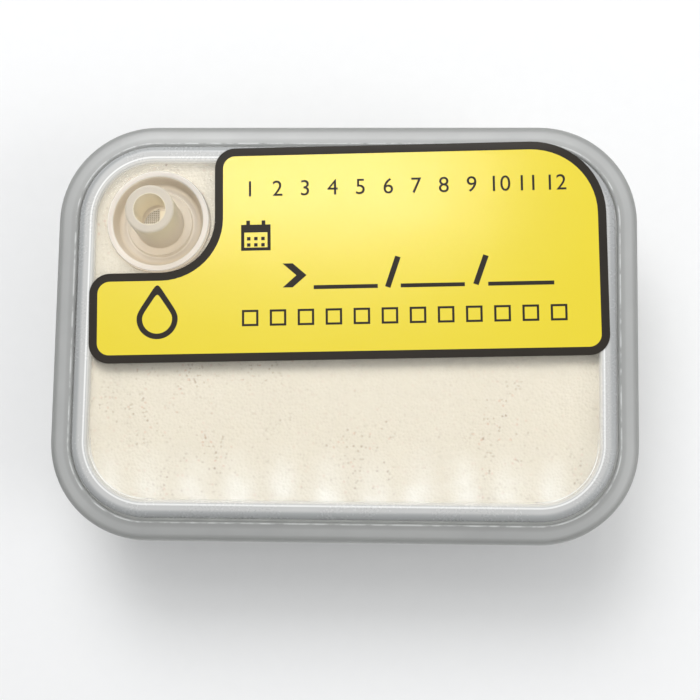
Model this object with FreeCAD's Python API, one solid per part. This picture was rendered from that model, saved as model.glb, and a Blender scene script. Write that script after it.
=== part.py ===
import FreeCAD, Part
import math
import os

# Descaling cartridge: a flat welded housing full of softening resin, lying on its back.
# X runs along the long side, Y towards the edge with the outlet, Z out of the labelled face.
# The origin is at the middle of the back, and all sizes are in millimetres.

# Rear tub, with a thick flat rim and walls that taper towards the back
rim_length = 110.0
rim_width = 79.2
rim_corner_radius = 18.5
rim_height = 24.0
rim_band = 3.7
rim_depth = 3.4
rim_overhang = 3.2
rim_outer_round = 0.7
rim_inner_round = 0.5
rim_under_round = 0.6
tub_wall = 1.8
back_thickness = 1.8
back_outer_round = 3.5
back_inner_round = 2.0
draft_angle = 2.0
ledge_depth = 1.8

# Shallow panel that is sunk in the back, with the dimple of the moulding gate
back_panel_inset = 13.0
back_panel_corner = 7.0
back_panel_depth = 0.5
gate_dimple_radius = 3.0
gate_dimple_depth = 0.5
gate_pip_radius = 0.9
gate_pip_rise = 0.4

# Front cover, set into the rim on the ledge
seam_gap = 0.5
face_rise = 1.9
cover_thickness = 1.8
cover_wall = 2.2
cover_edge_round = 1.3
cover_inner_round = 0.9
spigot_depth = 1.5
spigot_clearance = 0.2

# Outlet in the cover: a raised collar, a sunk cup and a hose nozzle
port_from_end = 19.4
port_from_side = 18.98
collar_radius = 9.65
collar_rise = 0.3
collar_round = 0.25
collar_outer_round = 0.12
cup_mouth_radius = 8.65
cup_floor_radius = 7.75
cup_depth = 3.2
cup_wall = 1.0
cup_floor_thickness = 1.6
cup_fillet = 1.0
foot_radius = 6.2
foot_rise = 0.6
foot_fillet = 0.25
nozzle_radius = 4.6
nozzle_bore_radius = 2.95
nozzle_rise = 9.8
nozzle_tip_round = 0.45
throat_radius = 3.5
throat_taper = 0.5

# Screen under the outlet: a mesh disc on a moulded cross, held in a boss by a pressed ring
boss_radius = 7.3
boss_wall = 1.3
plenum_radius = 5.1
plenum_depth = 1.0
cross_bar_width = 0.9
outlet_mesh_thickness = 0.3
outlet_ring_height = 1.5
outlet_ring_bore_radius = 4.4
screen_clearance = 0.1
boss_lip = 0.4

# Inlet windows in the long side wall, as many as its straight run holds, with a framed screen behind
window_pitch = 8.2
window_width = 4.4
window_height = 9.0
window_centre_height = 11.0
window_corner = 0.8
inlet_mesh_thickness = 0.3
frame_thickness = 1.4
frame_border = 1.2
frame_bar = 2.2
rail_clearance = 0.2
rail_thickness = 1.2
rail_hook = 0.6
rail_hook_thickness = 0.6

# Resin bed
bed_clearance = 0.25

# Label, a stiff printed sheet that is stuck on a little askew
label_thickness = 0.15
label_turn = 1.42
label_left_margin = 6.8
label_right_margin = 5.6
label_top_margin = 4.2
label_height = 41.1
label_tab_below_port = 9.15
label_notch_beside_port = 11.3
label_corner = 3.9
label_far_corner = 14.0
label_notch_round = 10.3
label_bend_radius = 12.0
label_bend_sweep = 20.0

# Heights and insets that follow from the sizes above
draft_slope = math.tan(math.radians(draft_angle))
face_height = rim_height + face_rise
ledge_height = rim_height - ledge_depth
rim_underside = rim_height - rim_depth
cover_inset = rim_band + seam_gap
cover_underside = face_height - cover_thickness
cover_inner_inset = cover_inset + cover_wall
ledge_inset = rim_overhang + tub_wall
spigot_end = ledge_height - spigot_depth
collar_height = face_height + collar_rise
cup_floor_height = face_height - cup_depth
cup_underside = cup_floor_height - cup_floor_thickness
nozzle_tip_height = collar_height + nozzle_rise
mesh_seat_height = cup_underside - plenum_depth
boss_bore_radius = boss_radius - boss_wall
ring_top_height = mesh_seat_height - outlet_mesh_thickness
ring_end_height = ring_top_height - outlet_ring_height
boss_end_height = ring_end_height - boss_lip
flat_face_edge = rim_width / 2 - cover_inset - cover_edge_round
port_x = port_from_end - rim_length / 2
port_y = rim_width / 2 - port_from_side
straight_wall = rim_length - 2 * rim_corner_radius
windows_room = straight_wall - window_width - 2 * (frame_border + bed_clearance)
window_count = int(windows_room // window_pitch) + 1


def inner_wall_inset(height):
    """Inset of the tub's inner wall from the rim's outline at a height."""
    return ledge_inset + (ledge_height - height) * draft_slope


def outer_wall_inset(height):
    """Inset of the tub's outer wall from the rim's outline at a height."""
    return rim_overhang + (rim_underside - height) * draft_slope


def rounded_wire(corners, place):
    """Closed wire through corners (across, up, radius), with each corner rounded by its radius.

    place turns a pair (across, up) into a point in space. A corner that repeats the one before is left out.
    """
    corners = [corner for index, corner in enumerate(corners) if math.dist(corner[:2], corners[index - 1][:2]) > 1e-6]
    count = len(corners)
    runs = []
    for index in range(count):
        across, up, radius = corners[index]
        before = corners[index - 1]
        after = corners[(index + 1) % count]
        to_before = FreeCAD.Vector(before[0] - across, before[1] - up, 0).normalize()
        to_after = FreeCAD.Vector(after[0] - across, after[1] - up, 0).normalize()
        corner = FreeCAD.Vector(across, up, 0)
        if radius == 0:
            runs.append((corner, None, corner))
            continue
        half_angle = to_before.getAngle(to_after) / 2
        reach = radius / math.tan(half_angle)
        bisector = (to_before + to_after).normalize()
        centre = corner + bisector * (radius / math.sin(half_angle))
        middle = centre - bisector * radius
        runs.append((corner + to_before * reach, middle, corner + to_after * reach))
    edges = []
    for index in range(count):
        start, middle, end = runs[index]
        next_start = runs[(index + 1) % count][0]
        if middle is not None:
            edges.append(Part.Arc(place(start), place(middle), place(end)).toShape())
        if (next_start - end).Length > 1e-6:
            edges.append(Part.LineSegment(place(end), place(next_start)).toShape())
    return Part.Wire(edges)


def upright(point):
    """Profile point (across, up) in the XZ plane."""
    return FreeCAD.Vector(point.x, 0, point.y)


def level(point):
    """Outline point (X, Y) in the XY plane."""
    return FreeCAD.Vector(point.x, point.y, 0)


def along_wall(point):
    """Profile point (Y, Z) in the YZ plane."""
    return FreeCAD.Vector(0, point.x, point.y)


def sweep_round_rim(inset_profile, core_bottom=None, core_top=None):
    """Solid made by sweeping a profile of (inset, height, radius) round the rim's outline.

    A profile that reaches the corners' axes is closed in the middle between the two core heights.
    """
    corners = [(rim_corner_radius - inset, height, radius) for inset, height, radius in inset_profile]
    profile = Part.Face(rounded_wire(corners, upright))
    centre_x = rim_length / 2 - rim_corner_radius
    centre_y = rim_width / 2 - rim_corner_radius
    starts = [(centre_x, -centre_y), (centre_x, centre_y), (-centre_x, centre_y), (-centre_x, -centre_y)]
    pieces = []
    for quarter, start in enumerate(starts):
        run = 2 * centre_x if quarter % 2 else 2 * centre_y
        side = profile.extrude(FreeCAD.Vector(0, run, 0))
        corner = profile.revolve(FreeCAD.Vector(0, 0, 0), FreeCAD.Vector(0, 0, 1), 90)
        corner.translate(FreeCAD.Vector(0, run, 0))
        for piece in (side, corner):
            piece.rotate(FreeCAD.Vector(0, 0, 0), FreeCAD.Vector(0, 0, 1), 90 * quarter)
            piece.translate(FreeCAD.Vector(start[0], start[1], 0))
            pieces.append(piece)
    if core_top is not None:
        core = Part.makeBox(2 * centre_x, 2 * centre_y, core_top - core_bottom)
        core.translate(FreeCAD.Vector(-centre_x, -centre_y, core_bottom))
        pieces.append(core)
    return pieces[0].multiFuse(pieces[1:]).removeSplitter()


def revolve_at_port(profile):
    """Solid turned about the outlet's axis from a profile of (radius, height, rounding)."""
    face = Part.Face(rounded_wire(profile, upright))
    solid = face.revolve(FreeCAD.Vector(0, 0, 0), FreeCAD.Vector(0, 0, 1), 360)
    solid.translate(FreeCAD.Vector(port_x, port_y, 0))
    return solid


def cylinder_at_port(radius, bottom, top):
    """Cylinder on the outlet's axis between two heights."""
    return Part.makeCylinder(radius, top - bottom, FreeCAD.Vector(port_x, port_y, bottom))


def rounded_plate(length, width, corner, thickness):
    """Plate with rounded corners, centred on the origin and lying on the XY plane."""
    outline = [
        (length / 2, -width / 2, corner),
        (length / 2, width / 2, corner),
        (-length / 2, width / 2, corner),
        (-length / 2, -width / 2, corner),
    ]
    return Part.Face(rounded_wire(outline, level)).extrude(FreeCAD.Vector(0, 0, thickness))


def put_on_inlet_wall(shape):
    """Lean a shape with the tapered wall and set its origin on the wall's inner face."""
    shape.rotate(FreeCAD.Vector(0, 0, 0), FreeCAD.Vector(1, 0, 0), draft_angle)
    wall_y = -rim_width / 2 + inner_wall_inset(window_centre_height)
    shape.translate(FreeCAD.Vector(0, wall_y, window_centre_height))
    return shape


def window_places():
    """X of each inlet window."""
    first = -(window_count - 1) / 2 * window_pitch
    return [first + index * window_pitch for index in range(window_count)]


def stand_plate(plate, front):
    """Turn a lying plate upright, with its lower side at the given Y."""
    plate.rotate(FreeCAD.Vector(0, 0, 0), FreeCAD.Vector(1, 0, 0), 90)
    plate.translate(FreeCAD.Vector(0, front, 0))
    return plate


def frame_size():
    """Length and height of the inlet screen's frame."""
    length = (window_count - 1) * window_pitch + window_width + 2 * frame_border
    height = window_height + 2 * frame_border
    return length, height


def make_inlet_rails():
    """Two hooked rails on the inner wall that hold the inlet frame."""
    length, height = frame_size()
    near = height / 2 + rail_clearance
    far = near + rail_thickness
    stand = inlet_mesh_thickness + frame_thickness + rail_clearance
    profile = [
        (-tub_wall / 2, near, 0),
        (stand, near, 0),
        (stand, near - rail_hook, 0),
        (stand + rail_hook_thickness, near - rail_hook, 0),
        (stand + rail_hook_thickness, far, 0),
        (-tub_wall / 2, far, 0),
    ]
    rail = Part.Face(rounded_wire(profile, along_wall)).extrude(FreeCAD.Vector(length, 0, 0))
    rail.translate(FreeCAD.Vector(-length / 2, 0, 0))
    lower = rail.mirror(FreeCAD.Vector(0, 0, 0), FreeCAD.Vector(0, 0, 1))
    return [put_on_inlet_wall(rail), put_on_inlet_wall(lower)]


def make_rear_tub():
    """Tub with its rim, the inlet windows, the screen's rails and the sunk panel in its back."""
    tub = sweep_round_rim(
        [
            (rim_corner_radius, 0, 0),
            (outer_wall_inset(0), 0, back_outer_round),
            (rim_overhang, rim_underside, rim_under_round),
            (0, rim_underside, rim_under_round),
            (0, rim_height, rim_outer_round),
            (rim_band, rim_height, rim_inner_round),
            (rim_band, ledge_height, 0),
            (ledge_inset, ledge_height, 0),
            (inner_wall_inset(back_thickness), back_thickness, back_inner_round),
            (rim_corner_radius, back_thickness, 0),
        ],
        0,
        back_thickness,
    )
    tub = tub.fuse(make_inlet_rails()).removeSplitter()
    windows = []
    for x in window_places():
        window = stand_plate(rounded_plate(window_width, window_height, window_corner, 3 * tub_wall), tub_wall)
        windows.append(put_on_inlet_wall(window).translated(FreeCAD.Vector(x, 0, 0)))
    tub = tub.cut(windows)
    panel = rounded_plate(
        rim_length - 2 * back_panel_inset, rim_width - 2 * back_panel_inset, back_panel_corner, back_panel_depth
    )
    dimple_depth = back_panel_depth + gate_dimple_depth
    dimple = Part.makeCylinder(gate_dimple_radius, dimple_depth)
    pip = Part.makeCylinder(gate_pip_radius, gate_pip_rise, FreeCAD.Vector(0, 0, dimple_depth - gate_pip_rise))
    return tub.cut([panel, dimple]).fuse(pip).removeSplitter()


def make_mesh_cross():
    """Two crossed bars in the plenum that back the outlet mesh against the flow."""
    reach = (plenum_radius + boss_bore_radius) / 2
    bars = []
    for turn in (0, 90):
        bar = Part.makeBox(2 * reach, cross_bar_width, plenum_depth)
        bar.translate(FreeCAD.Vector(-reach, -cross_bar_width / 2, 0))
        bar.rotate(FreeCAD.Vector(0, 0, 0), FreeCAD.Vector(0, 0, 1), turn)
        bar.translate(FreeCAD.Vector(port_x, port_y, mesh_seat_height))
        bars.append(bar)
    return bars


def make_front_cover():
    """Cover plate with its rounded edge and locating spigot, and the outlet moulded in one with it."""
    cover = sweep_round_rim(
        [
            (rim_corner_radius, cover_underside, 0),
            (cover_inner_inset, cover_underside, cover_inner_round),
            (cover_inner_inset, spigot_end, 0),
            (ledge_inset + spigot_clearance, spigot_end, 0),
            (ledge_inset + spigot_clearance, ledge_height, 0),
            (cover_inset, ledge_height, 0),
            (cover_inset, face_height, cover_edge_round),
            (rim_corner_radius, face_height, 0),
        ],
        cover_underside,
        face_height,
    )
    opening_radius = (cup_mouth_radius + collar_radius) / 2
    cover = cover.cut(cylinder_at_port(opening_radius, cover_underside - 1, face_height + 1))
    foot_height = cup_floor_height + foot_rise
    outlet = revolve_at_port(
        [
            (throat_radius, cup_underside, 0),
            (throat_radius, face_height, 0),
            (nozzle_bore_radius, face_height + throat_taper, 0),
            (nozzle_bore_radius, nozzle_tip_height, 0),
            (nozzle_radius, nozzle_tip_height, nozzle_tip_round),
            (nozzle_radius, foot_height, foot_fillet),
            (foot_radius, foot_height, foot_fillet),
            (foot_radius, cup_floor_height, foot_fillet),
            (cup_floor_radius, cup_floor_height, cup_fillet),
            (cup_mouth_radius, collar_height, collar_round),
            (collar_radius, collar_height, collar_outer_round),
            (collar_radius, face_height, 0),
            (cup_mouth_radius + cup_wall, face_height, 0),
            (cup_mouth_radius + cup_wall, cup_underside, 0),
            (boss_radius, cup_underside, 0),
            (boss_radius, boss_end_height, 0),
            (boss_bore_radius, boss_end_height, 0),
            (boss_bore_radius, mesh_seat_height, 0),
            (plenum_radius, mesh_seat_height, 0),
            (plenum_radius, cup_underside, 0),
        ]
    )
    return cover.fuse([outlet] + make_mesh_cross()).removeSplitter()


def make_resin_bed():
    """Resin that fills the housing, with pockets for the outlet and for the inlet screen."""
    floor = back_thickness + bed_clearance
    step = spigot_end - bed_clearance
    top = cover_underside - bed_clearance
    bed = sweep_round_rim(
        [
            (rim_corner_radius, floor, 0),
            (inner_wall_inset(floor) + bed_clearance, floor, back_inner_round),
            (inner_wall_inset(step) + bed_clearance, step, 0),
            (cover_inner_inset + bed_clearance, step, 0),
            (cover_inner_inset + bed_clearance, top, cover_inner_round),
            (rim_corner_radius, top, 0),
        ],
        floor,
        top,
    )
    cup_pocket = cylinder_at_port(
        cup_mouth_radius + cup_wall + bed_clearance, cup_underside - bed_clearance, face_height
    )
    boss_pocket = cylinder_at_port(boss_radius + bed_clearance, boss_end_height - bed_clearance, face_height)
    length, height = frame_size()
    pocket_height = height + 2 * (rail_clearance + rail_thickness + bed_clearance)
    pocket_depth = inlet_mesh_thickness + frame_thickness + rail_clearance + rail_hook_thickness + bed_clearance
    inlet_pocket = Part.makeBox(length + 2 * bed_clearance, pocket_depth + tub_wall, pocket_height)
    inlet_pocket.translate(FreeCAD.Vector(-length / 2 - bed_clearance, -tub_wall, -pocket_height / 2))
    return bed.cut([cup_pocket, boss_pocket, put_on_inlet_wall(inlet_pocket)])


def make_inlet_mesh():
    """Strip of fine mesh that lies on the inner wall behind the windows."""
    length, height = frame_size()
    strip = stand_plate(rounded_plate(length, height, window_corner, inlet_mesh_thickness), inlet_mesh_thickness)
    return put_on_inlet_wall(strip)


def make_inlet_frame():
    """Moulded frame that presses the inlet mesh to the wall, open behind each window."""
    length, height = frame_size()
    front = inlet_mesh_thickness + frame_thickness
    frame = stand_plate(rounded_plate(length, height, window_corner, frame_thickness), front)
    openings = []
    for x in window_places():
        opening = rounded_plate(window_pitch - frame_bar, window_height, window_corner, 3 * frame_thickness)
        openings.append(stand_plate(opening, front + frame_thickness).translated(FreeCAD.Vector(x, 0, 0)))
    return put_on_inlet_wall(frame.cut(openings))


def make_outlet_mesh():
    """Disc of fine mesh on its seat in the boss."""
    return cylinder_at_port(boss_bore_radius - screen_clearance, ring_top_height, mesh_seat_height)


def make_outlet_ring():
    """Ring pressed into the boss under the mesh."""
    radius = boss_bore_radius - screen_clearance / 2
    ring = cylinder_at_port(radius, ring_end_height, ring_top_height)
    return ring.cut(cylinder_at_port(outlet_ring_bore_radius, ring_end_height - 1, ring_top_height + 1))


def make_label():
    """Printed sheet on the face, bent down over the cover's edge along its upper side."""
    left = label_left_margin - rim_length / 2
    right = rim_length / 2 - label_right_margin
    top = rim_width / 2 - label_top_margin
    bottom = top - label_height
    tab_top = port_y - label_tab_below_port
    notch_left = port_x + label_notch_beside_port
    outline = [
        (left, bottom, label_corner),
        (right, bottom, label_corner),
        (right, top, label_far_corner),
        (notch_left, top, label_corner),
        (notch_left, tab_top, label_notch_round),
        (left, tab_top, label_corner),
    ]
    blank = Part.Face(rounded_wire(outline, level)).extrude(FreeCAD.Vector(0, 0, rim_height + face_height))
    blank.rotate(FreeCAD.Vector(0, 0, 0), FreeCAD.Vector(0, 0, 1), label_turn)

    bend_centre = FreeCAD.Vector(0, flat_face_edge, face_height - label_bend_radius)

    def on_bend(radius, sweep):
        angle = math.radians(sweep)
        return bend_centre + FreeCAD.Vector(0, radius * math.sin(angle), radius * math.cos(angle))

    under = label_bend_radius
    over = label_bend_radius + label_thickness
    reach = rim_width
    low_corner = FreeCAD.Vector(0, -reach, face_height)
    high_corner = FreeCAD.Vector(0, -reach, face_height + label_thickness)
    sweep = label_bend_sweep
    sheet = Part.Wire(
        [
            Part.LineSegment(low_corner, on_bend(under, 0)).toShape(),
            Part.Arc(on_bend(under, 0), on_bend(under, sweep / 2), on_bend(under, sweep)).toShape(),
            Part.LineSegment(on_bend(under, sweep), on_bend(over, sweep)).toShape(),
            Part.Arc(on_bend(over, sweep), on_bend(over, sweep / 2), on_bend(over, 0)).toShape(),
            Part.LineSegment(on_bend(over, 0), high_corner).toShape(),
            Part.LineSegment(high_corner, low_corner).toShape(),
        ]
    )
    sheet = Part.Face(sheet).extrude(FreeCAD.Vector(2 * rim_length, 0, 0))
    sheet.translate(FreeCAD.Vector(-rim_length, 0, 0))
    return sheet.common(blank)


pieces = {
    "rear_tub": make_rear_tub(),
    "front_cover": make_front_cover(),
    "resin_bed": make_resin_bed(),
    "inlet_mesh": make_inlet_mesh(),
    "inlet_frame": make_inlet_frame(),
    "outlet_mesh": make_outlet_mesh(),
    "outlet_ring": make_outlet_ring(),
    "label": make_label(),
}

os.makedirs("parts", exist_ok=True)
for name, shape in pieces.items():
    box = shape.BoundBox
    print(
        "%-12s solids %d valid %s volume %9.1f  x %.2f..%.2f  y %.2f..%.2f  z %.2f..%.2f"
        % (name, len(shape.Solids), shape.isValid(), shape.Volume,
           box.XMin, box.XMax, box.YMin, box.YMax, box.ZMin, box.ZMax)
    )
    shape.exportStep("parts/%s.step" % name)
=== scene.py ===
import math

import bmesh
import bpy
from mathutils import Matrix, Vector


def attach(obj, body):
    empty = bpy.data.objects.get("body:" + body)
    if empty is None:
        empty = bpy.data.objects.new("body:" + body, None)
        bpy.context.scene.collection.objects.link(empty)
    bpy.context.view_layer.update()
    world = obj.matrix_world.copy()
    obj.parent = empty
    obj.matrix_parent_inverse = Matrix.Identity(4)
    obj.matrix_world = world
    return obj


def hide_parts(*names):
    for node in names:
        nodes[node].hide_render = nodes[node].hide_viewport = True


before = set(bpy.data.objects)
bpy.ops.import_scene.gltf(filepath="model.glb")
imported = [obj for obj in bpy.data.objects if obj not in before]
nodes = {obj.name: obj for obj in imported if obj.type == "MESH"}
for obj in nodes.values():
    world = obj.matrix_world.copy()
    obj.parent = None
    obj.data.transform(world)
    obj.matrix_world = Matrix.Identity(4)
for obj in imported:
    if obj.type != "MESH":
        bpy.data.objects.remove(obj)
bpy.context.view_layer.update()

mm = 0.001
scene = bpy.context.scene
scene.view_settings.view_transform = "Standard"


# shader helpers
class Wire:
    # a node's output that can be used in sums
    def __init__(self, tree, socket):
        self.tree = tree
        self.socket = socket

    def sum(self, operation, first, second):
        return addNode(self.tree, "Math", {"operation": operation}, {0: first, 1: second})

    def __add__(self, other):
        return self.sum("ADD", self, other)

    def __radd__(self, other):
        return self.sum("ADD", other, self)

    def __sub__(self, other):
        return self.sum("SUBTRACT", self, other)

    def __rsub__(self, other):
        return self.sum("SUBTRACT", other, self)

    def __mul__(self, other):
        return self.sum("MULTIPLY", self, other)

    def __rmul__(self, other):
        return self.sum("MULTIPLY", other, self)

    def __truediv__(self, other):
        return self.sum("DIVIDE", self, other)

    def __gt__(self, other):
        return self.sum("GREATER_THAN", self, other)

    def __lt__(self, other):
        return self.sum("LESS_THAN", self, other)


def addNode(tree, kind, settings=None, sockets=None, out=0):
    node = tree.nodes.new("ShaderNode" + kind)
    for key, value in (settings or {}).items():
        setattr(node, key, value)
    for key, value in (sockets or {}).items():
        if isinstance(value, Wire):
            tree.links.new(value.socket, node.inputs[key])
        else:
            node.inputs[key].default_value = value
    return Wire(tree, node.outputs[out]) if node.outputs else None


def newFinish(name):
    finish = bpy.data.materials.new(name)
    finish.use_nodes = True
    finish.node_tree.nodes.clear()
    return finish, finish.node_tree


def closeFinish(tree, surface):
    addNode(tree, "OutputMaterial", {}, {"Surface": surface})


def objectPlace(tree):
    return addNode(tree, "TexCoord", {}, {}, 3)


def splitPlace(tree):
    axes = addNode(tree, "SeparateXYZ", {}, {0: objectPlace(tree)}).socket.node
    return [Wire(tree, axes.outputs[index]) for index in range(3)]


def mixColor(tree, factor, first, second):
    return addNode(tree, "Mix", {"data_type": "RGBA"}, {0: factor, 6: first, 7: second}, 2)


def mixSurface(tree, factor, first, second):
    return addNode(tree, "MixShader", {}, {0: factor, 1: first, 2: second})


def noise(tree, size, detail=2.0):
    return addNode(tree, "TexNoise", {}, {"Vector": objectPlace(tree), "Scale": 1 / size, "Detail": detail})


def bump(tree, height, distance, strength=1.0):
    return addNode(tree, "Bump", {}, {"Height": height, "Distance": distance, "Strength": strength})


def fade(tree, value, low, high):
    # 0 at low and 1 at high, with a soft step between
    ends = {0: value, 1: low, 2: high, 3: 0.0, 4: 1.0}
    return addNode(tree, "MapRange", {"interpolation_type": "SMOOTHSTEP"}, ends)


def thinLine(tree, value, middle, width):
    # 1 on a line where the value is the middle one, with soft sides
    off = addNode(tree, "Math", {"operation": "ABSOLUTE"}, {0: value - middle})
    return fade(tree, off, width, 0.3 * width)


def away(tree, first, second):
    # how far a point is from the origin of the two values
    square = first * first + second * second
    return addNode(tree, "Math", {"operation": "SQRT"}, {0: square})


# moulded plastic: clear where it is thin and flat, milky where there is depth to it
rimOutline = {"halfLength": 55.0 * mm, "halfWidth": 39.6 * mm, "corner": 18.5 * mm}
plasticGrain = {
    "cloudSize": 9 * mm,
    "grainSize": 0.5 * mm,
    "cloudRelief": 0.015 * mm,
    "grainRelief": 0.0003 * mm,
    "cloudRough": 0.06,
    "grainRough": 0.04,
    "ior": 1.49,
}
tubPlastic = {
    "clear": {
        "body": (0.80, 0.81, 0.79, 1),
        "shade": (0.75, 0.76, 0.74, 1),
        "clearness": 0.80,
        "rough": 0.16,
        "lamp": (0.88, 0.88, 0.87, 1),
    },
    "milky": {
        "body": (0.60, 0.605, 0.595, 1),
        "shade": (0.50, 0.505, 0.50, 1),
        "clearness": 0.42,
        "rough": 0.30,
        "lamp": (0.66, 0.66, 0.65, 1),
    },
    "milkyHeight": (18.5 * mm, 20.8 * mm),
    # outer and inner bands: painted shade, darker bands across the rim that stand in for how light falls on
    # its rounded top
    "outerBand": (0.7 * mm, 1.3 * mm),
    "outerShare": 0.7,
    "innerBand": (2.1 * mm, 2.7 * mm),
    "innerShare": 0.45,
    "paintedBandShade": (0.37, 0.375, 0.365, 1),
    # painted highlight: a pale line along the rim's inner edge, broken up by streaks, where light glints on
    # the round
    "lineInset": 3.28 * mm,
    "lineWidth": 0.20 * mm,
    "lineFrom": 23.3 * mm,
    "paintedLineHighlight": (0.86, 0.87, 0.86, 1),
    "streakSize": 2.6 * mm,
    "streakBreaks": (0.35, 0.6),
    # painted light: the groove between rim and cover is made paler where shade falls in it
    "seamBand": (3.72 * mm, 3.82 * mm),
    "seamPaintedLight": (0.80, 0.81, 0.80, 1),
    "crown": 0.50,
    "crownWidth": 3.6 * mm,
    "crownFrom": 23.0 * mm,
}
coverPlastic = {
    "clear": {
        "body": (0.95, 0.95, 0.93, 1),
        "shade": (0.92, 0.92, 0.90, 1),
        "clearness": 0.92,
        "rough": 0.08,
        "ior": 1.16,  # low, so that the thin clear plate doesn't mirror the lamps
        "lamp": (0.95, 0.95, 0.94, 1),
    },
    "edge": {
        "body": (0.65, 0.65, 0.64, 1),
        "shade": (0.57, 0.57, 0.56, 1),
        "clearness": 0.10,
        "rough": 0.22,
        "lamp": (0.70, 0.70, 0.69, 1),
    },
    "outlet": {
        "body": (0.80, 0.73, 0.62, 1),
        "shade": (0.75, 0.67, 0.55, 1),
        "clearness": 0.38,
        "rough": 0.34,
        "lamp": (0.90, 0.885, 0.86, 1),
    },
    "wallBand": (7.70 * mm, 6.60 * mm),
    # painted shade: darker over the cover's rounded edge, towards the groove
    "roundBand": (5.70 * mm, 5.00 * mm),
    "paintedRoundShade": (0.44, 0.45, 0.45, 1),
    # painted light: a pale band just inside the edge, lightening the shade at the resin's edge
    "innerBand": (6.7 * mm, 7.0 * mm),
    "innerPaintedLight": (0.86, 0.84, 0.79, 1),
    # painted highlights: a thin bright line along the inner edge, and a fainter arc at two corners
    "lineInset": 6.50 * mm,
    "lineWidth": 0.24 * mm,
    "paintedLineHighlight": (0.97, 0.97, 0.95, 1),
    "arcInset": 7.62 * mm,
    "arcWidth": 0.17 * mm,
    "arcStrength": 0.75,
    "arcAcross": (33 * mm, 40 * mm),
    "arcAlong": (-18 * mm, -25 * mm),
    "port": (-35.6 * mm, 20.62 * mm),
    "outletBand": (9.8 * mm, 9.6 * mm),
    # painted shade: the nozzle's tip is darker than the cup below it, evening out the light that falls on
    # them
    "tipHeight": (27.0 * mm, 35.0 * mm),
    "tipPaintedShade": (0.75, 0.695, 0.60, 1),
    # painted light: the inside of the bore is paler, as if more light reached into it
    "boreBand": (3.15 * mm, 3.0 * mm),
    "borePaintedLight": (0.96, 0.90, 0.74, 1),
    # painted light: a pale line at the nozzle's foot, lightening the shade in its fillet
    "footRadius": 6.3 * mm,
    "footWidth": 0.45 * mm,
    "footTop": 24 * mm,
    "footPaintedLight": (0.93, 0.86, 0.75, 1),
    "collarBand": (8.5 * mm, 8.7 * mm),
    "collarTone": (0.97, 0.91, 0.84, 1),
    # painted highlights: bright thin rings on the collar's rounded edges
    "rings": [(8.74 * mm, 0.20 * mm), (9.55 * mm, 0.16 * mm)],
    "ringHeight": 25.2 * mm,
    "paintedRingHighlight": (1.0, 0.97, 0.91, 1),
}


def edgeInset(tree, outline):
    # how far a point is inside the rim's outline, seen from above
    x, y, z = splitPlace(tree)
    reach = []
    for value, half in ((x, outline["halfLength"]), (y, outline["halfWidth"])):
        size = addNode(tree, "Math", {"operation": "ABSOLUTE"}, {0: value})
        past = size - (half - outline["corner"])
        reach.append(addNode(tree, "Math", {"operation": "MAXIMUM"}, {0: past, 1: 0.0}))
    return outline["corner"] - away(tree, reach[0], reach[1])


def plasticLayer(tree, look, tones=(), shape=None):
    # tones are masks with the colour that each one brings
    clouds = noise(tree, plasticGrain["cloudSize"], 3.0)
    grain = noise(tree, plasticGrain["grainSize"], 3.0)
    body = mixColor(tree, clouds, look["body"], look["shade"])
    for mask, tone in tones:
        body = mixColor(tree, mask, body, tone)
    rough = look["rough"] + plasticGrain["cloudRough"] * clouds + plasticGrain["grainRough"] * grain
    relief = plasticGrain["cloudRelief"] * clouds + plasticGrain["grainRelief"] * grain
    if shape:
        relief = relief + shape
    surface = addNode(
        tree,
        "BsdfPrincipled",
        {},
        {
            "Base Color": body,
            "Roughness": rough,
            "IOR": look.get("ior", plasticGrain["ior"]),
            "Transmission Weight": look["clearness"],
            "Normal": bump(tree, relief, 1.0),
        },
    )
    lampWay = addNode(tree, "BsdfTransparent", {}, {"Color": look["lamp"]})
    forLamps = addNode(tree, "LightPath", {}, {}, 1)
    return mixSurface(tree, forLamps, surface, lampWay)


def makeTubPlastic(look):
    finish, tree = newFinish("tubPlastic")
    x, y, z = splitPlace(tree)
    milky = fade(tree, z, *look["milkyHeight"])
    inset = edgeInset(tree, rimOutline)
    # painted shade: a darker band at the rim's outer edge and another one further in
    outer = fade(tree, inset, look["outerBand"][1], look["outerBand"][0]) * look["outerShare"]
    inner = fade(tree, inset, *look["innerBand"]) * look["innerShare"]
    streaks = fade(tree, noise(tree, look["streakSize"], 4.0), *look["streakBreaks"])
    # painted highlight along the rim's inner edge, broken by the streaks
    line = thinLine(tree, inset, look["lineInset"], look["lineWidth"]) * (z > look["lineFrom"]) * streaks
    # painted light in the seam groove, lightening its shade
    seam = fade(tree, inset, *look["seamBand"])
    run = addNode(tree, "Math", {"operation": "MINIMUM"}, {0: inset, 1: look["crownWidth"]})
    crown = (run - run * run / (2 * look["crownWidth"])) * look["crown"] * (z > look["crownFrom"])
    tones = [
        (outer, look["paintedBandShade"]),
        (inner, look["paintedBandShade"]),
        (line, look["paintedLineHighlight"]),
        (seam, look["seamPaintedLight"]),
    ]
    clearLayer = plasticLayer(tree, look["clear"])
    milkyLayer = plasticLayer(tree, look["milky"], tones, crown)
    closeFinish(tree, mixSurface(tree, milky, clearLayer, milkyLayer))
    return finish


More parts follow.
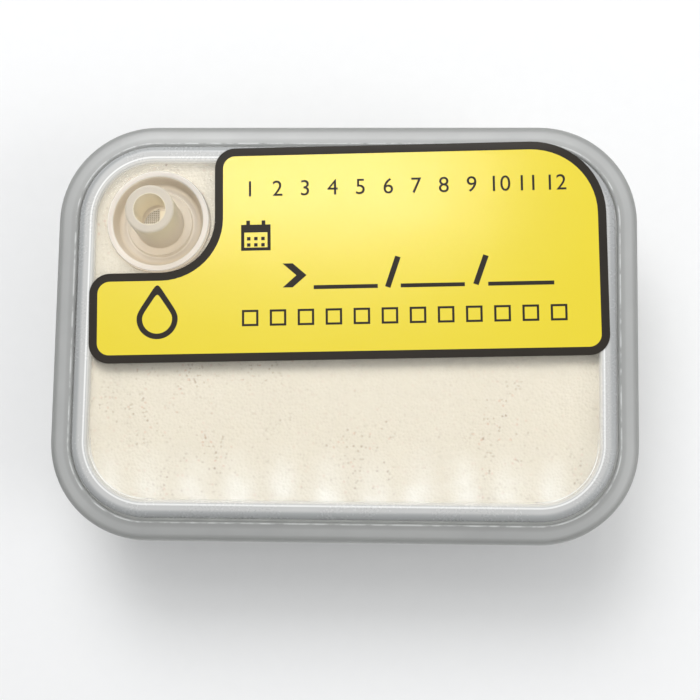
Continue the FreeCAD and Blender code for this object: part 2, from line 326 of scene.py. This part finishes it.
def makeCoverPlastic(look):
    finish, tree = newFinish("coverPlastic")
    x, y, z = splitPlace(tree)
    inset = edgeInset(tree, rimOutline)
    wall = fade(tree, inset, *look["wallBand"])
    # painted highlight lines along the inner edge
    line = thinLine(tree, inset, look["lineInset"], look["lineWidth"])
    acrossStart, acrossEnd = look["arcAcross"]
    atCorner = fade(tree, x * x, acrossStart**2, acrossEnd**2) * fade(tree, y, *look["arcAlong"])
    arc = thinLine(tree, inset, look["arcInset"], look["arcWidth"]) * atCorner * look["arcStrength"]
    edgeTones = [
        # painted shade on the rounded edge
        (fade(tree, inset, *look["roundBand"]), look["paintedRoundShade"]),
        # painted light inside the edge
        (fade(tree, inset, *look["innerBand"]), look["innerPaintedLight"]),
        # painted highlights
        (line + arc, look["paintedLineHighlight"]),
    ]

    fromPort = away(tree, x - look["port"][0], y - look["port"][1])
    outlet = fade(tree, fromPort, *look["outletBand"])
    onTop = z > look["ringHeight"]
    # painted light at the nozzle's foot
    foot = thinLine(tree, fromPort, look["footRadius"], look["footWidth"]) * (z < look["footTop"])
    outletTones = [
        # painted shade towards the tip
        (fade(tree, z, *look["tipHeight"]), look["tipPaintedShade"]),
        # painted light in the bore
        (fade(tree, fromPort, *look["boreBand"]), look["borePaintedLight"]),
        (foot, look["footPaintedLight"]),
        (onTop * fade(tree, fromPort, *look["collarBand"]), look["collarTone"]),
    ]
    # painted highlight rings on the collar's top
    for radius, width in look["rings"]:
        outletTones.append((onTop * thinLine(tree, fromPort, radius, width), look["paintedRingHighlight"]))

    clearLayer = plasticLayer(tree, look["clear"])
    edgeLayer = plasticLayer(tree, look["edge"], edgeTones)
    outletLayer = plasticLayer(tree, look["outlet"], outletTones)
    milkyPart = addNode(tree, "Math", {"operation": "MAXIMUM"}, {0: wall, 1: arc})
    plate = mixSurface(tree, milkyPart, clearLayer, edgeLayer)
    closeFinish(tree, mixSurface(tree, outlet, plate, outletLayer))
    return finish


# softening resin: fine cream granules, with painted light in patches behind the water windows
resinLook = {
    "cream": (0.652, 0.60, 0.51, 1),
    "creamDeep": (0.60, 0.54, 0.438, 1),
    "granule": 0.55 * mm,
    "cloudSize": 14 * mm,
    "cloudShare": 0.55,
    "specks": [
        # cell size, radius in cells, share of the cells, strength, colour
        (0.70 * mm, 0.42, 0.20, 0.55, (0.36, 0.28, 0.21, 1)),
        (0.90 * mm, 0.36, 0.14, 0.50, (0.56, 0.33, 0.25, 1)),
        (1.50 * mm, 0.20, 0.22, 0.66, (0.28, 0.19, 0.14, 1)),
    ],
    "crowdSize": 17 * mm,
    "crowdBand": (0.42, 0.62),
    "crowdShare": 0.65,
    # painted light: pale patches near the window wall, at the windows' pitch, where light comes in
    "pale": (0.805, 0.79, 0.76, 1),
    "patchMiddle": 5.85 * mm,
    "patchPitch": 8.39 * mm,
    "patchAlong": (-19.5 * mm, -34.5 * mm),
    "patchSwing": 0.7,
    "unevenSize": 5 * mm,
    "unevenBand": (0.3, 0.7),
    "unevenShare": 0.55,
    "rough": 0.55,
    "roughRange": 0.3,
    "gloss": 0.12,
    "relief": 0.12 * mm,
    "reliefStrength": 0.6,
}


def cells(tree, size):
    # distance from the nearest grain's middle, and a value of each grain's own
    distance = addNode(tree, "TexVoronoi", {}, {"Vector": objectPlace(tree), "Scale": 1 / size})
    own = Wire(tree, distance.socket.node.outputs["Color"])
    return distance, addNode(tree, "RGBToBW", {}, {0: own})


def share(part, value):
    # all of it where the value is 1, and less by this part where it is 0
    return (1 - part) + part * value


def makeResin(look):
    finish, tree = newFinish("resinGranules")
    granules, toneValue = cells(tree, look["granule"])
    clouds = noise(tree, look["cloudSize"], 3.0)
    deep = look["cloudShare"] * clouds + (1 - look["cloudShare"]) * toneValue
    color = mixColor(tree, deep, look["cream"], look["creamDeep"])
    crowded = share(look["crowdShare"], fade(tree, noise(tree, look["crowdSize"], 2.0), *look["crowdBand"]))
    for size, radius, part, strength, tint in look["specks"]:
        distance, tone = cells(tree, size)
        chosen = (tone < 0.5 + part / 2) * (tone > 0.5 - part / 2)
        speck = chosen * fade(tree, distance, radius, 0.6 * radius) * crowded * strength
        color = mixColor(tree, speck, color, tint)

    # painted light in patches along the window wall
    x, y, z = splitPlace(tree)
    turn = 2 * math.pi / look["patchPitch"]
    wave = addNode(tree, "Math", {"operation": "COSINE"}, {0: (x - look["patchMiddle"]) * turn})
    near = fade(tree, y, *look["patchAlong"])
    uneven = fade(tree, noise(tree, look["unevenSize"], 3.0), *look["unevenBand"])
    windowLightPatch = near * share(look["patchSwing"], 0.5 + 0.5 * wave) * share(look["unevenShare"], uneven)
    body = addNode(
        tree,
        "BsdfPrincipled",
        {},
        {
            "Base Color": mixColor(tree, windowLightPatch, color, look["pale"]),
            "Roughness": look["rough"] + look["roughRange"] * toneValue,
            "Specular IOR Level": look["gloss"],
            "Normal": bump(tree, clouds * 0.5 - granules, look["relief"], look["reliefStrength"]),
        },
    )
    closeFinish(tree, body)
    return finish


# fine screen cloth, and the satin plastic of the inner parts
clothLook = {
    "pale": (0.92, 0.895, 0.83, 1),
    "shade": (0.82, 0.795, 0.73, 1),
    "cloudSize": 0.25 * mm,
    "grainSize": 0.25 * mm,
    "grainDetail": 2.0,
    "rough": 0.45,
    "roughRange": 0.2,
    "relief": 0.02 * mm,
}
satinLook = {
    "pale": (0.84, 0.84, 0.81, 1),
    "shade": (0.76, 0.76, 0.73, 1),
    "cloudSize": 6 * mm,
    "grainSize": 0.6 * mm,
    "grainDetail": 3.0,
    "rough": 0.32,
    "roughRange": 0.14,
    "relief": 0.01 * mm,
}


def makeInnerFinish(name, look):
    finish, tree = newFinish(name)
    clouds = noise(tree, look["cloudSize"], 2.0)
    grain = noise(tree, look["grainSize"], look["grainDetail"])
    body = addNode(
        tree,
        "BsdfPrincipled",
        {},
        {
            "Base Color": mixColor(tree, clouds, look["pale"], look["shade"]),
            "Roughness": look["rough"] + look["roughRange"] * grain,
            "Normal": bump(tree, grain, look["relief"]),
        },
    )
    closeFinish(tree, body)
    return finish


# label film and its ink
filmLook = {
    "pale": (0.86, 0.70, 0.012, 1),
    "shade": (0.83, 0.655, 0.006, 1),
    "rough": 0.14,
    "gloss": 1.0,
}
inkLook = {
    "pale": (0.022, 0.018, 0.013, 1),
    "shade": (0.036, 0.030, 0.024, 1),
    "rough": 0.29,
    "gloss": 0.14,
}
labelGrain = {
    "cloudSize": 11 * mm,
    "cloudShare": 0.7,
    "fibreSize": 0.35 * mm,
    "fibreRough": 0.1,
    "waveSize": 16 * mm,
    "waveShare": 0.8,
    "fibreShare": 0.02,
    "relief": 0.06 * mm,
}


def makeLabelFinish(name, look, grain):
    finish, tree = newFinish(name)
    clouds = noise(tree, grain["cloudSize"], 3.0)
    fibre = noise(tree, grain["fibreSize"], 3.0)
    waves = noise(tree, grain["waveSize"], 1.0)
    worn = clouds * grain["cloudShare"] + fibre * (1 - grain["cloudShare"])
    relief = waves * grain["waveShare"] + fibre * grain["fibreShare"]
    body = addNode(
        tree,
        "BsdfPrincipled",
        {},
        {
            "Base Color": mixColor(tree, worn, look["pale"], look["shade"]),
            "Roughness": look["rough"] + grain["fibreRough"] * fibre,
            "Specular IOR Level": look["gloss"],
            "Normal": bump(tree, relief, grain["relief"]),
        },
    )
    closeFinish(tree, body)
    return finish


tubFinish = makeTubPlastic(tubPlastic)
coverFinish = makeCoverPlastic(coverPlastic)
resinFinish = makeResin(resinLook)
clothFinish = makeInnerFinish("screenCloth", clothLook)
satinFinish = makeInnerFinish("satinPlastic", satinLook)
filmFinish = makeLabelFinish("labelFilm", filmLook, labelGrain)
inkFinish = makeLabelFinish("labelInk", inkLook, labelGrain)
print("finishes: made")

nodeFinishes = {
    "rear_tub": tubFinish,
    "front_cover": coverFinish,
    "resin_bed": resinFinish,
    "inlet_frame": satinFinish,
    "outlet_ring": satinFinish,
}
for nodeName, finish in nodeFinishes.items():
    carried = nodes[nodeName]
    carried.data.materials.clear()
    carried.data.materials.append(finish)
print("CAD pieces: finished")


# what the new pieces share
def newPiece(name, mesh, slot, *finishes):
    piece = bpy.data.objects.new(name, mesh)
    scene.collection.objects.link(piece)
    for finish in finishes:
        mesh.materials.append(finish)
    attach(piece, "root")
    return piece


def toMesh(bm, name):
    mesh = bpy.data.meshes.new(name)
    bm.to_mesh(mesh)
    bm.free()
    return mesh


def raiseFaces(bm, thickness):
    raised = bmesh.ops.extrude_face_region(bm, geom=bm.faces[:])["geom"]
    corners = [part for part in raised if isinstance(part, bmesh.types.BMVert)]
    bmesh.ops.translate(bm, verts=corners, vec=(0, 0, thickness))


def faceUp(bm):
    for face in bm.faces:
        if face.normal.z < 0:
            face.normal_flip()


def addBar(bm, start, end, width):
    start = Vector((*start, 0))
    end = Vector((*end, 0))
    angle = math.atan2(end.y - start.y, end.x - start.x)
    place = Matrix.Translation((start + end) / 2) @ Matrix.Rotation(angle, 4, "Z")
    size = Matrix.Diagonal(((end - start).length, width, 1, 1))
    return bmesh.ops.create_grid(bm, x_segments=1, y_segments=1, size=0.5, matrix=place @ size)["verts"]


def addFrame(bm, center, width, height, line):
    x, y = center
    corners = addBar(bm, (x - width / 2, y), (x + width / 2, y), height)
    face = corners[0].link_faces[0]
    bmesh.ops.inset_individual(bm, faces=[face], thickness=line, use_even_offset=True)
    bmesh.ops.delete(bm, geom=[face], context="FACES")


# label: a cut sheet with a printed border, bent down over the cover's upper edge
labelCut = {
    "left": -48.07 * mm,
    "right": 49.55 * mm,
    "bottom": -5.72 * mm,
    "top": 35.3 * mm,
    "tabTop": 11.47 * mm,
    "notchLeft": -24.2 * mm,
    "corner": 3.9 * mm,
    "farCorner": 14.0 * mm,
    "notchRound": 10.3 * mm,
    "roundSteps": 14,
    "border": 1.56 * mm,
    "turn": math.radians(1.42),
    "face": 25.9 * mm,
    "thickness": 0.15 * mm,
    "lift": 0.01 * mm,
    "bendStart": 34.1 * mm,
    "bendRadius": 12.0 * mm,
    "bendSteps": 9,
    "bendPitch": 0.45 * mm,
}


def roundCorner(bm, vertex, radius, steps):
    bmesh.ops.bevel(
        bm,
        geom=[vertex],
        offset=radius,
        offset_type="OFFSET",
        segments=steps,
        profile=0.5,
        affect="VERTICES",
        material=-1,
    )


def makeLabelSheet(cut):
    bm = bmesh.new()
    corners = [
        (cut["left"], cut["bottom"], cut["corner"]),
        (cut["right"], cut["bottom"], cut["corner"]),
        (cut["right"], cut["top"], cut["farCorner"]),
        (cut["notchLeft"], cut["top"], cut["corner"]),
        (cut["notchLeft"], cut["tabTop"], cut["notchRound"]),
        (cut["left"], cut["tabTop"], cut["corner"]),
    ]
    sharp = [bm.verts.new((x, y, 0)) for x, y, radius in corners]
    bm.faces.new(sharp)
    for vertex, (x, y, radius) in zip(sharp, corners):
        roundCorner(bm, vertex, radius, cut["roundSteps"])
    middle = bm.faces[:]
    bmesh.ops.inset_region(bm, faces=middle, thickness=cut["border"], use_even_offset=True, use_boundary=True)
    for face in bm.faces:
        face.material_index = 0 if face in middle else 1
    bmesh.ops.rotate(bm, verts=bm.verts, matrix=Matrix.Rotation(cut["turn"], 3, "Z"))
    for step in range(cut["bendSteps"]):
        bmesh.ops.bisect_plane(
            bm,
            geom=bm.verts[:] + bm.edges[:] + bm.faces[:],
            plane_co=(0, cut["bendStart"] + step * cut["bendPitch"], 0),
            plane_no=(0, 1, 0),
        )
    for vertex in bm.verts:
        past = max(0.0, vertex.co.y - cut["bendStart"])
        drop = cut["bendRadius"] - math.sqrt(cut["bendRadius"] ** 2 - past**2)
        vertex.co.z = cut["face"] + cut["lift"] - drop
    bmesh.ops.triangulate(bm, faces=bm.faces)
    faceUp(bm)
    bmesh.ops.solidify(bm, geom=bm.faces[:], thickness=-cut["thickness"])
    bmesh.ops.recalc_face_normals(bm, faces=bm.faces)
    return toMesh(bm, "labelSheet")


labelSheet = newPiece("labelSheet", makeLabelSheet(labelCut), "label_print", filmFinish, inkFinish)
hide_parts("label")
print("label: cut and bent")

# print on the label, in the label's own coordinates and then turned with it
labelPrint = {
    "inkThickness": 0.02 * mm,
    "sunk": 0.004 * mm,
    "shift": (0.2 * mm, -0.25 * mm),
    "ruleHeight": 8.35 * mm,
    "ruleWidth": 0.75 * mm,
    "rules": [(-5.7 * mm, 6.35 * mm), (10.65 * mm, 22.65 * mm), (27.0 * mm, 39.3 * mm)],
    "slashes": [
        ((8.2 * mm, 8.1 * mm), (10.2 * mm, 13.9 * mm)),
        ((24.7 * mm, 8.3 * mm), (26.7 * mm, 13.8 * mm)),
    ],
    "slashWidth": 1.05 * mm,
    "months": 12,
    "monthsLeft": -17.7 * mm,
    "monthsPitch": 5.25 * mm,
    "monthsLine": 26.1 * mm,
    "figureSize": 4.3 * mm,
    "tickLine": 2.7 * mm,
    "tickSide": 3.1 * mm,
    "tickWidth": 0.42 * mm,
}
calendarMark = {
    "place": (-16.6 * mm, 18.1 * mm),
    "size": (5.6 * mm, 5.0 * mm),
    "line": 0.6 * mm,
    "headHeight": 0.9 * mm,
    "ringAcross": 0.26,
    "ringHeight": 0.8 * mm,
    "ringWidth": 0.7 * mm,
    "dotPitch": (1.35 * mm, 1.2 * mm),
    "dotDrop": 0.2 * mm,
    "dotSide": 0.66 * mm,
}
pointerMark = {
    "place": (-10.6 * mm, 10.7 * mm),
    "push": 2.6 * mm,
    "height": 4.6 * mm,
    "line": 1.9 * mm,
}
dropMark = {
    "place": (-35.3 * mm, 2.9 * mm),
    "radius": 3.9 * mm,
    "point": 6.4 * mm,
    "pointInset": 1.75,
    "line": 1.05 * mm,
    "steps": 56,
    "pinch": 0.5,
    "pinchPower": 2.2,
    "slope": 0.62,
}


def addFigure(bm, body, center, size):
    curve = bpy.data.curves.new("figure", "FONT")
    curve.body = body
    curve.size = size
    curve.align_x = "CENTER"
    curve.resolution_u = 4
    holder = bpy.data.objects.new("figure", curve)
    mesh = bpy.data.meshes.new_from_object(holder)
    mesh.transform(Matrix.Translation((*center, 0)))
    bm.from_mesh(mesh)
    bpy.data.objects.remove(holder)
    bpy.data.meshes.remove(mesh)
    bpy.data.curves.remove(curve)


def addCalendar(bm, mark):
    x, y = mark["place"]
    width, height = mark["size"]
    line = mark["line"]
    addFrame(bm, (x, y), width, height, line)
    headLine = y + height / 2 - line - mark["headHeight"] / 2
    addBar(bm, (x - width / 2 + line, headLine), (x + width / 2 - line, headLine), mark["headHeight"])
    for side in (-1, 1):
        ringX = x + side * width * mark["ringAcross"]
        addBar(bm, (ringX, y + height / 2), (ringX, y + height / 2 + mark["ringHeight"]), mark["ringWidth"])
    for column in (-1, 0, 1):
        for row in (0, 1):
            dotX = x + column * mark["dotPitch"][0]
            dotY = y - mark["dotDrop"] - row * mark["dotPitch"][1]
            half = mark["dotSide"] / 2
            addBar(bm, (dotX - half, dotY), (dotX + half, dotY), mark["dotSide"])


def addPointer(bm, mark):
    # a bar with its middle pushed to the right
    x, y = mark["place"]
    place = Matrix.Translation((x, y, 0)) @ Matrix.Diagonal((mark["line"], mark["height"], 1, 1))
    corners = bmesh.ops.create_grid(bm, x_segments=1, y_segments=2, size=0.5, matrix=place)["verts"]
    for vertex in corners:
        if abs(vertex.co.y - y) < 0.01 * mm:
            vertex.co.x += mark["push"]


def addDrop(bm, mark):
    # two drop outlines, joined to a band
    rings = []
    for inset in (0.0, mark["line"]):
        radius = mark["radius"] - inset
        tip = mark["point"] - inset * mark["pointInset"]
        ring = bmesh.ops.create_circle(bm, segments=mark["steps"], radius=radius)["verts"]
        for vertex in ring:
            if vertex.co.y > 0:
                rise = vertex.co.y / radius
                vertex.co.x *= 1 - mark["pinch"] * rise ** mark["pinchPower"]
                vertex.co.y = tip * (mark["slope"] * rise + (1 - mark["slope"]) * rise**3)
        bmesh.ops.translate(bm, verts=ring, vec=(*mark["place"], 0))
        rings += [edge for edge in bm.edges if edge.verts[0] in ring and edge.verts[1] in ring]
    bmesh.ops.bridge_loops(bm, edges=rings)


def makeLabelPrint(marks, cut):
    bm = bmesh.new()
    for left, right in marks["rules"]:
        addBar(bm, (left, marks["ruleHeight"]), (right, marks["ruleHeight"]), marks["ruleWidth"])
    for low, high in marks["slashes"]:
        addBar(bm, low, high, marks["slashWidth"])
    for month in range(marks["months"]):
        across = marks["monthsLeft"] + month * marks["monthsPitch"]
        addFigure(bm, str(month + 1), (across, marks["monthsLine"]), marks["figureSize"])
        addFrame(bm, (across, marks["tickLine"]), marks["tickSide"], marks["tickSide"], marks["tickWidth"])
    addCalendar(bm, calendarMark)
    addPointer(bm, pointerMark)
    addDrop(bm, dropMark)
    faceUp(bm)
    raiseFaces(bm, marks["inkThickness"])
    bmesh.ops.recalc_face_normals(bm, faces=bm.faces)
    top = cut["face"] + cut["lift"] + cut["thickness"] - marks["sunk"]
    place = Matrix.Rotation(cut["turn"], 4, "Z") @ Matrix.Translation((*marks["shift"], top))
    bmesh.ops.transform(bm, verts=bm.verts, matrix=place)
    return toMesh(bm, "labelMarks")


labelMarks = newPiece("labelMarks", makeLabelPrint(labelPrint, labelCut), "label_print", inkFinish)
print("label: printed")

# water screens: crossing threads with a welded border, one behind the windows and one under the outlet
screenWeave = {
    "thread": 0.08 * mm,
    "threadSides": 6,
    "pitch": 0.38 * mm,
    "border": 0.7 * mm,
    "borderThickness": 0.26 * mm,
}
inletCloth = {
    "size": (72.2 * mm, 11.2 * mm),
    "place": (0, -33.91 * mm, 11.0 * mm),
    "lean": math.radians(92.0),
}
outletCloth = {
    "radius": 5.85 * mm,
    "steps": 48,
    "place": (-35.6 * mm, 20.62 * mm, 19.81 * mm),
}


def addWeave(bm, weave, spans):
    # threads both ways; each span gives the half length of the thread at a distance from the middle
    flat = Matrix.Rotation(math.radians(90), 4, "X")
    radius = weave["thread"]
    for turn, (reach, halfLength) in zip((0, math.radians(90)), spans):
        height = radius * (3 if turn else 1)
        count = int(reach / weave["pitch"])
        for step in range(-count, count + 1):
            off = step * weave["pitch"]
            middle = (0, off, height) if turn else (off, 0, height)
            bmesh.ops.create_cone(
                bm,
                cap_ends=True,
                segments=weave["threadSides"],
                radius1=radius,
                radius2=radius,
                depth=2 * halfLength(off),
                matrix=Matrix.Translation(middle) @ Matrix.Rotation(turn, 4, "Z") @ flat,
            )


def makeInletScreen(cloth, weave):
    bm = bmesh.new()
    length, height = cloth["size"]
    addFrame(bm, (0, 0), length, height, weave["border"])
    raiseFaces(bm, weave["borderThickness"])
    inset = weave["border"] / 2
    spans = [
        (length / 2 - weave["border"], lambda off: height / 2 - inset),
        (height / 2 - weave["border"], lambda off: length / 2 - inset),
    ]
    addWeave(bm, weave, spans)
    place = Matrix.Translation(cloth["place"]) @ Matrix.Rotation(cloth["lean"], 4, "X")
    bmesh.ops.transform(bm, verts=bm.verts, matrix=place)
    bmesh.ops.recalc_face_normals(bm, faces=bm.faces)
    return toMesh(bm, "inletScreen")


def makeOutletScreen(cloth, weave):
    bm = bmesh.new()
    bmesh.ops.create_circle(bm, cap_ends=True, segments=cloth["steps"], radius=cloth["radius"])
    disc = bm.faces[:]
    bmesh.ops.inset_individual(bm, faces=disc, thickness=weave["border"], use_even_offset=True)
    bmesh.ops.delete(bm, geom=disc, context="FACES")
    raiseFaces(bm, weave["borderThickness"])
    inner = cloth["radius"] - weave["border"] / 2
    spans = [(inner - weave["border"], lambda off: math.sqrt(inner**2 - off**2))] * 2
    addWeave(bm, weave, spans)
    bmesh.ops.transform(bm, verts=bm.verts, matrix=Matrix.Translation(cloth["place"]))
    bmesh.ops.recalc_face_normals(bm, faces=bm.faces)
    return toMesh(bm, "outletScreen")


inletScreen = newPiece("inletScreen", makeInletScreen(inletCloth, screenWeave), "mesh", clothFinish)
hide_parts("inlet_mesh")
outletScreen = newPiece("outletScreen", makeOutletScreen(outletCloth, screenWeave), "mesh", clothFinish)
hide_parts("outlet_mesh")
print("screens: woven")

# floor
floorLook = {
    "size": 4.0,
    "drop": 0.05 * mm,
    "pale": (0.94, 0.94, 0.94, 1),
    "shade": (0.92, 0.92, 0.92, 1),
    "fibreSize": 3 * mm,
    "rough": 0.85,
    "gloss": 0.1,
}


def makeFloor(look):
    finish, tree = newFinish("paperFloor")
    fibre = noise(tree, look["fibreSize"], 3.0)
    body = addNode(
        tree,
        "BsdfPrincipled",
        {},
        {
            "Base Color": mixColor(tree, fibre, look["pale"], look["shade"]),
            "Roughness": look["rough"],
            "Specular IOR Level": look["gloss"],
        },
    )
    closeFinish(tree, body)
    bm = bmesh.new()
    bmesh.ops.create_grid(bm, x_segments=1, y_segments=1, size=look["size"] / 2)
    bmesh.ops.translate(bm, verts=bm.verts, vec=(0, 0, -look["drop"]))
    mesh = toMesh(bm, "floor")
    mesh.materials.append(finish)
    floor = bpy.data.objects.new("floor", mesh)
    scene.collection.objects.link(floor)


makeFloor(floorLook)
print("studio: floor")

# light: a wide key behind the object, a fill at its right, and a strip that shines on the label's upper left
skyLook = {"color": (0.97, 0.985, 1.0, 1), "strength": 0.49}
lampDistance = 0.8
softBoxes = {
    "keyBox": {"from": (-0.15, 0.61566, 0.78801), "size": (0.46, 0.40), "power": 3.5},
    "fillBox": {"from": (0.78, -0.22, 0.60), "size": (0.50, 0.40), "power": 1.5},
    "stripBox": {"from": (-0.1000, 0.2660, 0.9588), "size": (0.23, 0.046), "power": 0.26},
}


def aimedMatrix(place, view, up):
    back = -Vector(view).normalized()
    side = Vector(up).cross(back).normalized()
    turn = Matrix((side, back.cross(side), back)).transposed().to_4x4()
    return Matrix.Translation(place) @ turn


def addSoftBox(name, look):
    lamp = bpy.data.lights.new(name, "AREA")
    lamp.shape = "RECTANGLE"
    lamp.size, lamp.size_y = look["size"]
    lamp.energy = look["power"]
    holder = bpy.data.objects.new(name, lamp)
    scene.collection.objects.link(holder)
    toLamp = Vector(look["from"]).normalized()
    holder.matrix_world = aimedMatrix(toLamp * lampDistance, -toLamp, (0, 1, 0))


def makeSky(look):
    sky = bpy.data.worlds.new("studioSky")
    sky.use_nodes = True
    backdrop = sky.node_tree.nodes["Background"]
    backdrop.inputs[0].default_value = look["color"]
    backdrop.inputs[1].default_value = look["strength"]
    scene.world = sky


makeSky(skyLook)
for boxName, boxLook in softBoxes.items():
    addSoftBox(boxName, boxLook)
print("studio: sky and lamps")

# camera, where the photograph was taken from
photoView = {
    "place": (20.19 * mm, -54.67 * mm, 357.65 * mm),
    "view": (-0.0562, 0.1510, -0.9869),
    "up": (-0.0066, 0.9884, 0.1516),
    "lens": 92.57,
    "sensor": 36,
    "nearest": 0.01,
}
camera = bpy.data.objects.new("camera", bpy.data.cameras.new("camera"))
scene.collection.objects.link(camera)
camera.data.sensor_width = photoView["sensor"]
camera.data.lens = photoView["lens"]
camera.data.clip_start = photoView["nearest"]
camera.matrix_world = aimedMatrix(photoView["place"], photoView["view"], photoView["up"])
scene.camera = camera
print("studio: camera")
